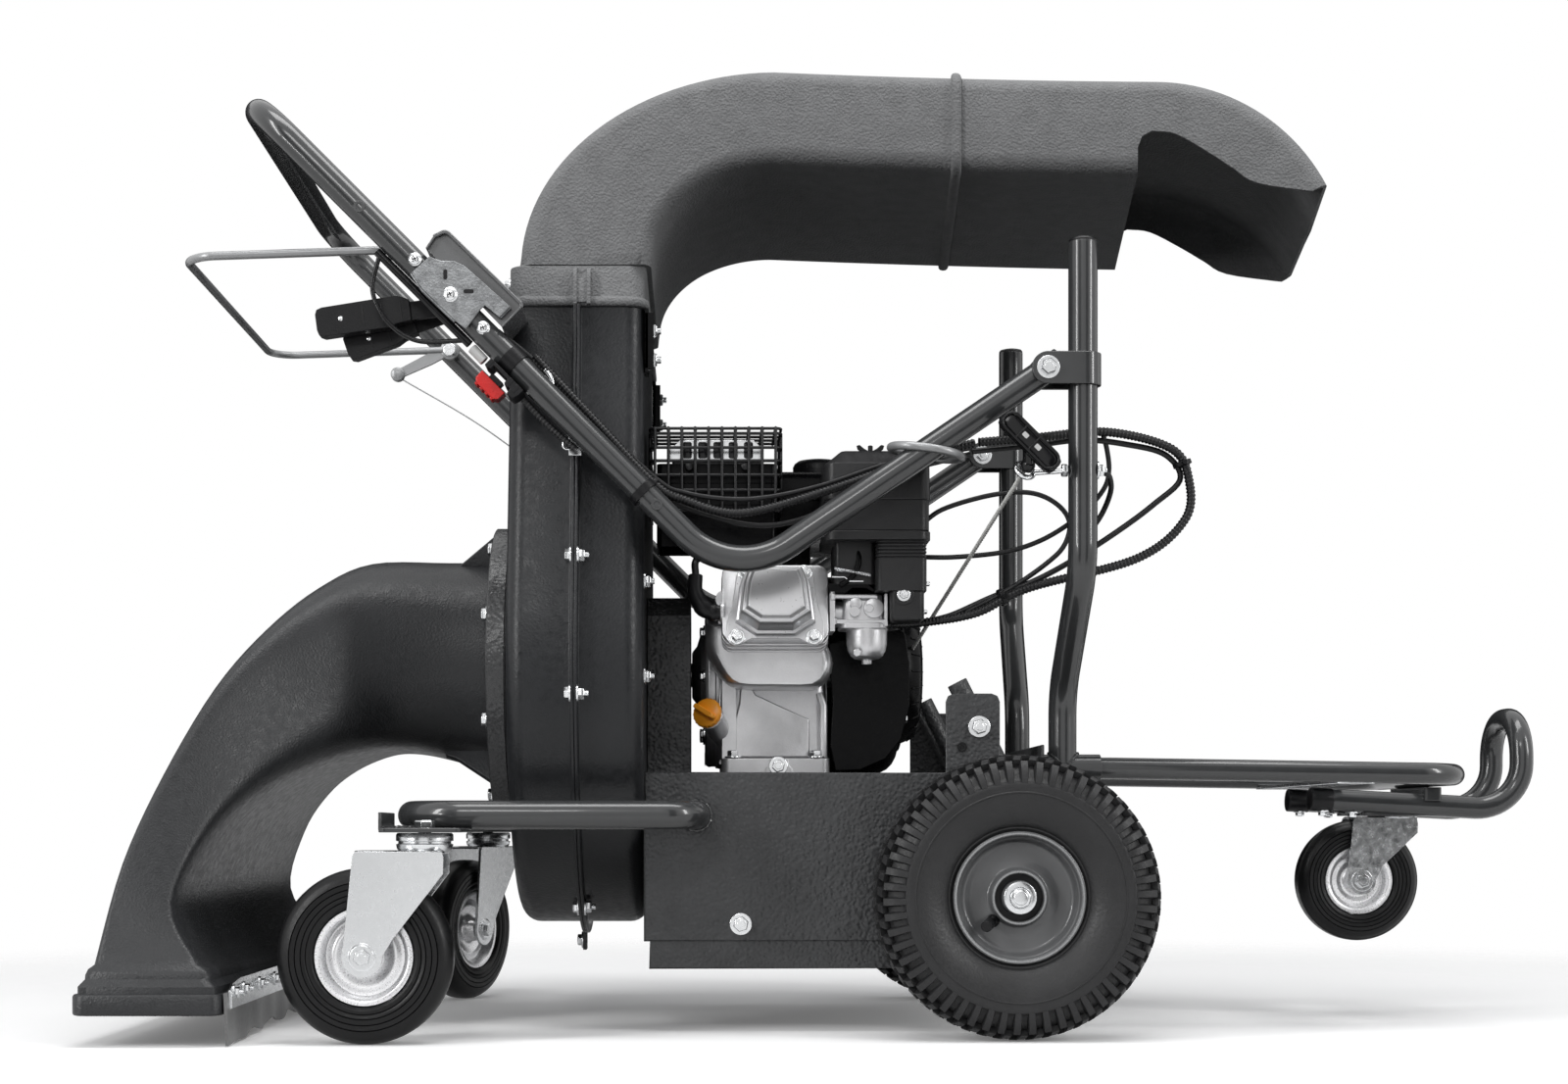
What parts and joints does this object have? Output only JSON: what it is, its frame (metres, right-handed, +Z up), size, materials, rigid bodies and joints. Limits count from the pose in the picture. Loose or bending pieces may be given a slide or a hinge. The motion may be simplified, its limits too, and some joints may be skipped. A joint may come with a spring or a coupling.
{
  "type": "leaf vacuum",
  "caption": "Walk-behind leaf vacuum with a floor nozzle, engine-driven impeller, discharge duct, folding handle with bail, casters and a rear bag frame.",
  "frame": {"origin": "on the ground under the middle of the whole machine", "axes": "+X to the rear where the bag hangs, nozzle at -X; +Z up; -Y is the side seen in the picture"},
  "size_m": [1.412, 0.708, 0.922],
  "materials": {
    "frame": "glossy dark grey paint",
    "sheet": "satin dark grey paint",
    "housing": "satin dark grey paint",
    "duct": "dark grey moulded plastic with a fine grain",
    "nozzle": "near-black moulded plastic",
    "skirt": "grey rubber sheet",
    "zinc": "bright zinc plate",
    "cast_alloy": "as-cast alloy",
    "black_steel": "satin black paint",
    "black_plastic": "black moulded plastic",
    "red": "red moulded plastic",
    "orange": "orange moulded plastic",
    "grey_wire": "grey coated round wire",
    "rim": "silver-grey paint",
    "tyre": "black tyre rubber",
    "muffler": "plain pressed steel",
    "cable": "black cable sheath",
    "rope": "off-white braided rope"
  },
  "bodies": {
    "chassis": {"base_tray": "sheet", "front_bumper": "frame", "upright_near": "frame", "upright_far": "frame", "handle_clamp_near": "frame", "handle_clamp_far": "frame", "bag_frame": "frame", "rear_loop": "frame", "housing_front_shell": "housing", "housing_rear_shell": "housing", "suction_nozzle": "nozzle", "nozzle_skirt": "skirt", "nozzle_strip": "zinc", "discharge_elbow": "duct", "discharge_outlet": "duct", "wheel_axle": "zinc", "engine_block": "cast_alloy", "oil_cap": "orange", "cylinder_head": "cast_alloy", "valve_cover": "black_steel", "spark_plug_boot": "black_plastic", "fan_housing": "black_steel", "recoil_cover": "black_steel", "shaft_guard": "sheet", "fuel_tank": "black_steel", "fuel_cap": "black_plastic", "carburettor": "cast_alloy", "air_cleaner": "black_plastic", "muffler": "muffler", "muffler_cage": "black_steel", "rope_guide": "zinc", "starter_rope": "rope", "chassis_cable": "cable"},
    "rotor": {"impeller": "black_steel", "crankshaft_flywheel": "cast_alloy"},
    "handle": {"handle": "frame", "console_plate": "zinc", "console_cover": "frame", "lever_guard": "black_steel", "switch_body": "black_plastic", "handle_cable": "cable"},
    "bail": {"bail": "grey_wire"},
    "throttle_lever": {"throttle_lever": "black_plastic"},
    "choke_lever": {"choke_lever": "black_plastic"},
    "stop_button": {"stop_button": "red"},
    "starter_handle": {"starter_handle": "black_plastic"},
    "wheel_near": {"wheel_rim_near": "rim", "wheel_tyre_near": "tyre"},
    "wheel_far": {"wheel_rim_far": "rim", "wheel_tyre_far": "tyre"},
    "caster_fork_near": {"caster_fork_near": "zinc"},
    "caster_wheel_near": {"caster_rim_near": "zinc", "caster_tyre_near": "tyre"},
    "caster_fork_far": {"caster_fork_far": "zinc"},
    "caster_wheel_far": {"caster_rim_far": "zinc", "caster_tyre_far": "tyre"},
    "caster_fork_rear": {"caster_fork_rear": "zinc"},
    "caster_wheel_rear": {"caster_rim_rear": "zinc", "caster_tyre_rear": "tyre"}
  },
  "joints": [
    {"name": "rotor_spin", "type": "hinge", "parent": "chassis", "child": "rotor", "pos_m": [-0.262, 0, 0.355], "axis": [1, 0, 0], "continuous": true},
    {"name": "handle_fold", "type": "hinge", "parent": "chassis", "child": "handle", "pos_m": [0.1778, 0, 0.6226], "axis": [0, 1, 0], "range_deg": [0, 30]},
    {"name": "bail_swing", "type": "hinge", "parent": "handle", "child": "bail", "pos_m": [-0.4297, 0, 0.7409], "axis": [0, 1, 0], "range_deg": [0, 36]},
    {"name": "throttle_turn", "type": "hinge", "parent": "handle", "child": "throttle_lever", "pos_m": [-0.376, -0.2205, 0.69], "axis": [0, 1, 0], "range_deg": [-28, 0]},
    {"name": "choke_turn", "type": "hinge", "parent": "handle", "child": "choke_lever", "pos_m": [-0.376, -0.202, 0.69], "axis": [0, 1, 0], "range_deg": [-14, 14]},
    {"name": "stop_press", "type": "slide", "parent": "handle", "child": "stop_button", "axis": [0.7071, 0, 0.7071], "range_m": [0, 0.004], "stiffness_N_per_m": 200},
    {"name": "starter_pull", "type": "slide", "parent": "chassis", "child": "starter_handle", "axis": [0, -1, 0], "range_m": [0, 0.45]},
    {"name": "wheel_near_spin", "type": "hinge", "parent": "chassis", "child": "wheel_near", "pos_m": [0.148, -0.2625, 0.132], "axis": [0, 1, 0], "continuous": true},
    {"name": "wheel_far_spin", "type": "hinge", "parent": "chassis", "child": "wheel_far", "pos_m": [0.148, 0.2625, 0.132], "axis": [0, 1, 0], "continuous": true},
    {"name": "caster_near_swivel", "type": "hinge", "parent": "chassis", "child": "caster_fork_near", "pos_m": [-0.394, -0.312, 0.1915], "axis": [0, 0, 1], "continuous": true},
    {"name": "caster_near_spin", "type": "hinge", "parent": "caster_fork_near", "child": "caster_wheel_near", "pos_m": [-0.447, -0.312, 0.08], "axis": [0, 1, 0], "continuous": true},
    {"name": "caster_far_swivel", "type": "hinge", "parent": "chassis", "child": "caster_fork_far", "pos_m": [-0.394, 0.312, 0.1915], "axis": [0, 0, 1], "continuous": true},
    {"name": "caster_far_spin", "type": "hinge", "parent": "caster_fork_far", "child": "caster_wheel_far", "pos_m": [-0.4164, 0.26397, 0.08], "axis": [-0.9063, 0.4226, 0], "continuous": true},
    {"name": "caster_rear_swivel", "type": "hinge", "parent": "chassis", "child": "caster_fork_rear", "pos_m": [0.576, 0, 0.2085], "axis": [0, 0, 1], "continuous": true},
    {"name": "caster_rear_spin", "type": "hinge", "parent": "caster_fork_rear", "child": "caster_wheel_rear", "pos_m": [0.538, 0, 0.142], "axis": [0, 1, 0], "continuous": true}
  ]
}
